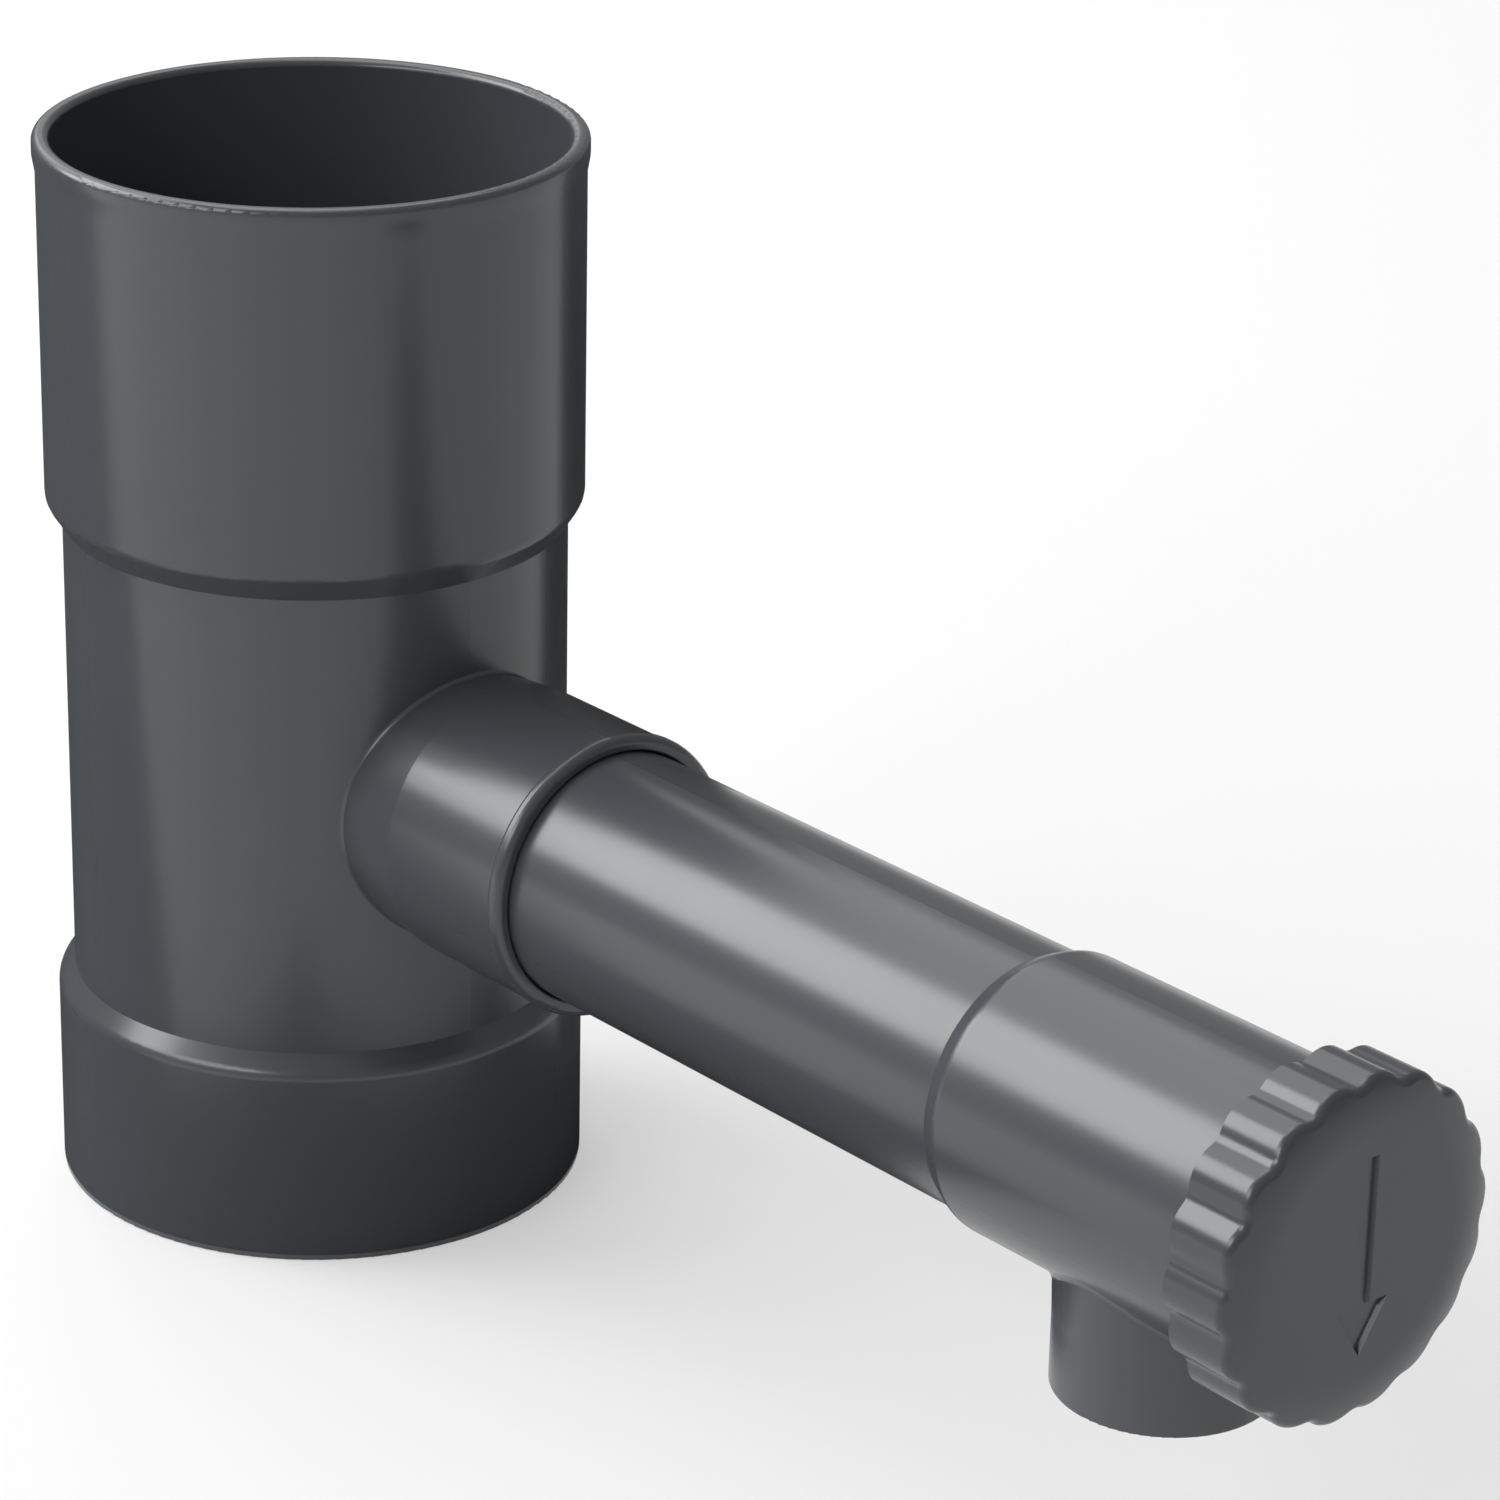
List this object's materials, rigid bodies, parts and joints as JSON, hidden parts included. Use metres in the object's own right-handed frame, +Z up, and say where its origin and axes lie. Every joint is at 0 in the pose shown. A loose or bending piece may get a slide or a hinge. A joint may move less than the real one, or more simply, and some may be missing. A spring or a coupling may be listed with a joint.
{
  "type": "rainwater diverter",
  "caption": "Downpipe rainwater diverter: a pipe body with a socket at each end and a side arm with a turning knob and a downward outlet.",
  "frame": {"origin": "centre of the bottom socket's rim plane, on the downpipe's axis", "axes": "+Z up along the downpipe's axis, +X out along the arm; the arm's axis is 74 mm above the origin"},
  "size_m": [0.2749, 0.0862, 0.174],
  "materials": {
    "pipe_pvc": "satin moulded dark grey PVC",
    "scoop_pvc": "satin moulded dark grey PVC",
    "knob_plastic": "satin moulded dark grey PVC",
    "seal_rubber": "smooth black rubber"
  },
  "bodies": {
    "housing": {"body": "pipe_pvc", "outlet_arm": "pipe_pvc"},
    "selector": {"knob": "knob_plastic", "scoop": "scoop_pvc", "seal_ring": "seal_rubber"}
  },
  "joints": [
    {"name": "knob_turn", "type": "hinge", "parent": "housing", "child": "selector", "pos_m": [0.2, 0, 0.074], "axis": [1, 0, 0], "continuous": true}
  ]
}
